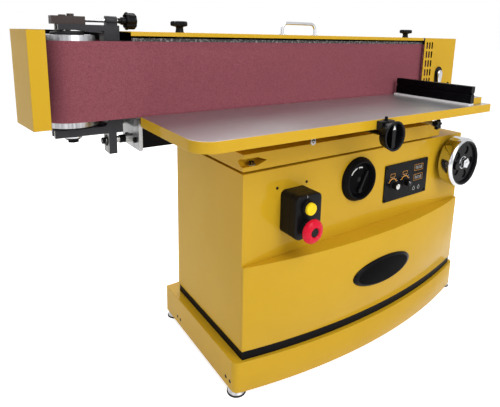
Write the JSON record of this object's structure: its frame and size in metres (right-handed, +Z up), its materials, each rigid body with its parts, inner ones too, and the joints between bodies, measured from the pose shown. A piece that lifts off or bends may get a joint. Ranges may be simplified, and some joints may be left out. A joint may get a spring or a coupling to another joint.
{
  "type": "edge sander",
  "caption": "Floor standing edge sander: a wide vertical abrasive belt on two drums over a lifting cast table, on a bowed steel cabinet with handwheel, dial and switch box.",
  "frame": {"origin": "floor level under the middle of the bounding box", "axes": "+X along the belt from the idler to the drive end, +Y from the table side to the back, +Z up"},
  "size_m": [1.9502, 0.7369, 1.2273],
  "materials": {
    "yellow_paint": "semi-gloss yellow enamel",
    "black_paint": "black enamel on castings and sheet",
    "black_plastic": "moulded black plastic",
    "grey_iron": "bare or painted grey casting",
    "ground_iron": "ground top with painted rim",
    "steel": "turned and ground steel",
    "chrome": "polished plating",
    "alloy": "turned or extruded aluminium",
    "black_alloy": "black anodised extrusion",
    "abrasive": "cloth backed maroon abrasive",
    "yellow_plastic": "gloss yellow button",
    "red_plastic": "gloss red button"
  },
  "bodies": {
    "base": {"plinth": "yellow_paint", "toe_band": "black_paint", "leveling_feet": "steel", "cabinet_shell": "yellow_paint", "bow_panel": "yellow_paint", "rear_panel": "yellow_paint", "badge_plate": "black_plastic", "switch_box": "black_plastic", "control_panel": "black_plastic", "panel_screws": "steel", "dial_bezel": "black_plastic", "head_pedestals": "yellow_paint", "head_beam": "black_paint", "end_plate": "steel", "guide_rods": "steel", "platen": "steel", "platen_frame": "grey_iron", "sanding_belt": "abrasive", "top_cover": "yellow_paint", "pull_handle": "chrome", "rear_cover": "yellow_paint", "dust_port": "black_plastic", "motor_plate": "grey_iron", "motor_body": "alloy", "motor_fan_cover": "black_paint", "lift_gearbox": "grey_iron", "screw_jacks": "grey_iron", "guide_bushes": "steel"},
    "drive": {"drive_drum": "alloy", "drive_shaft": "steel"},
    "idler_carriage": {"idler_yoke": "black_paint", "idler_shaft": "steel", "tracking_block": "black_paint", "tracking_nut": "black_paint"},
    "idler": {"idler_drum": "alloy"},
    "tracking_knob": {"tracking_knob": "black_plastic"},
    "end_guard": {"end_guard": "yellow_paint"},
    "end_cover": {"end_cover": "yellow_paint"},
    "latch_lever": {"latch_lever": "chrome"},
    "cover_knob_left": {"cover_knob_left": "black_plastic"},
    "cover_knob_right": {"cover_knob_right": "black_plastic"},
    "table": {"table_top": "ground_iron", "table_carriage": "yellow_paint", "lift_screws": "steel", "guide_posts": "steel", "lock_bracket": "black_paint"},
    "lock_knob": {"lock_knob": "black_plastic"},
    "clamp_knob": {"clamp_knob": "black_plastic"},
    "fence": {"fence_rail": "black_alloy", "fence_strip": "alloy", "fence_bracket": "yellow_paint"},
    "fence_knob": {"fence_knob": "chrome"},
    "handwheel": {"handwheel": "chrome", "handwheel_knob": "chrome"},
    "cross_shaft": {"cross_shaft": "steel"},
    "speed_knob": {"speed_knob": "black_plastic"},
    "mode_knob": {"mode_knob": "black_plastic"},
    "dial": {"dial_cup": "black_plastic"},
    "start_button": {"start_button": "yellow_plastic"},
    "stop_button": {"stop_button": "red_plastic"}
  },
  "joints": [
    {"name": "drive_spin", "type": "hinge", "parent": "base", "child": "drive", "pos_m": [0.82937, 0.1485, 1.0265], "axis": [0, 0, 1], "continuous": true},
    {"name": "belt_slack", "type": "slide", "parent": "base", "child": "idler_carriage", "axis": [1, 0, 0], "range_m": [0, 0.01]},
    {"name": "idler_spin", "type": "hinge", "parent": "idler_carriage", "child": "idler", "pos_m": [-0.83762, 0.1485, 1.0265], "axis": [0, 0, 1], "continuous": true},
    {"name": "tracking_turn", "type": "hinge", "parent": "idler_carriage", "child": "tracking_knob", "pos_m": [-0.71762, 0.1485, 1.20026], "axis": [1, 0, 0], "range_deg": [-180, 180]},
    {"name": "guard_open", "type": "hinge", "parent": "base", "child": "end_guard", "pos_m": [-0.80763, 0.243, 1.036], "axis": [0, 0, -1], "range_deg": [0, 110]},
    {"name": "end_cover_open", "type": "hinge", "parent": "base", "child": "end_cover", "pos_m": [0.96813, 0.248, 1.036], "axis": [0, 0, 1], "range_deg": [0, 95]},
    {"name": "latch_turn", "type": "hinge", "parent": "end_cover", "child": "latch_lever", "pos_m": [0.84337, 0.0515, 0.986], "axis": [0, 1, 0], "range_deg": [0, 90]},
    {"name": "cover_knob_left_turn", "type": "hinge", "parent": "base", "child": "cover_knob_left", "pos_m": [-0.50813, 0.1115, 1.1696], "axis": [0, 0, 1], "range_deg": [0, 720]},
    {"name": "cover_knob_right_turn", "type": "hinge", "parent": "base", "child": "cover_knob_right", "pos_m": [0.64187, 0.1115, 1.1696], "axis": [0, 0, 1], "range_deg": [0, 720]},
    {"name": "handwheel_turn", "type": "hinge", "parent": "base", "child": "handwheel", "pos_m": [0.64287, -0.2205, 0.65], "axis": [0, 1, 0], "range_deg": [0, 3240]},
    {"name": "cross_shaft_turn", "type": "hinge", "parent": "base", "child": "cross_shaft", "pos_m": [0.26488, -0.0925, 0.65], "axis": [1, 0, 0], "range_deg": [0, 3240]},
    {"name": "table_lift", "type": "slide", "parent": "base", "child": "table", "axis": [0, 0, 1], "range_m": [0, 0.09]},
    {"name": "lock_turn", "type": "hinge", "parent": "table", "child": "lock_knob", "pos_m": [0.00387, -0.3385, 0.866], "axis": [0, 1, 0], "range_deg": [0, 180]},
    {"name": "clamp_turn", "type": "hinge", "parent": "table", "child": "clamp_knob", "pos_m": [0.39087, -0.2545, 0.846], "axis": [0, 1, 0], "range_deg": [0, 360]},
    {"name": "fence_slide", "type": "slide", "parent": "table", "child": "fence", "axis": [-1, 0, 0], "range_m": [0, 0.7]},
    {"name": "fence_knob_turn", "type": "hinge", "parent": "fence", "child": "fence_knob", "pos_m": [0.59688, -0.2515, 0.95], "axis": [0, 0, 1], "range_deg": [0, 360]},
    {"name": "speed_turn", "type": "hinge", "parent": "base", "child": "speed_knob", "pos_m": [0.26787, -0.1685, 0.597], "axis": [0, 1, 0], "range_deg": [0, 270]},
    {"name": "mode_turn", "type": "hinge", "parent": "base", "child": "mode_knob", "pos_m": [0.34387, -0.1685, 0.597], "axis": [0, 1, 0], "range_deg": [-45, 45]},
    {"name": "dial_turn", "type": "hinge", "parent": "base", "child": "dial", "pos_m": [0.06888, -0.1685, 0.656], "axis": [0, 1, 0], "range_deg": [0, 90]},
    {"name": "start_press", "type": "slide", "parent": "base", "child": "start_button", "axis": [0, 1, 0], "range_m": [0, 0.004], "stiffness_N_per_m": 900},
    {"name": "stop_press", "type": "slide", "parent": "base", "child": "stop_button", "axis": [0, 1, 0], "range_m": [0, 0.006], "stiffness_N_per_m": 1200}
  ],
  "couplings": [
    {"joint": "idler_spin", "follows": "drive_spin", "ratio": 1},
    {"joint": "cross_shaft_turn", "follows": "handwheel_turn", "ratio": 1},
    {"joint": "table_lift", "follows": "handwheel_turn", "m_per_rad": 0.0015915}
  ]
}
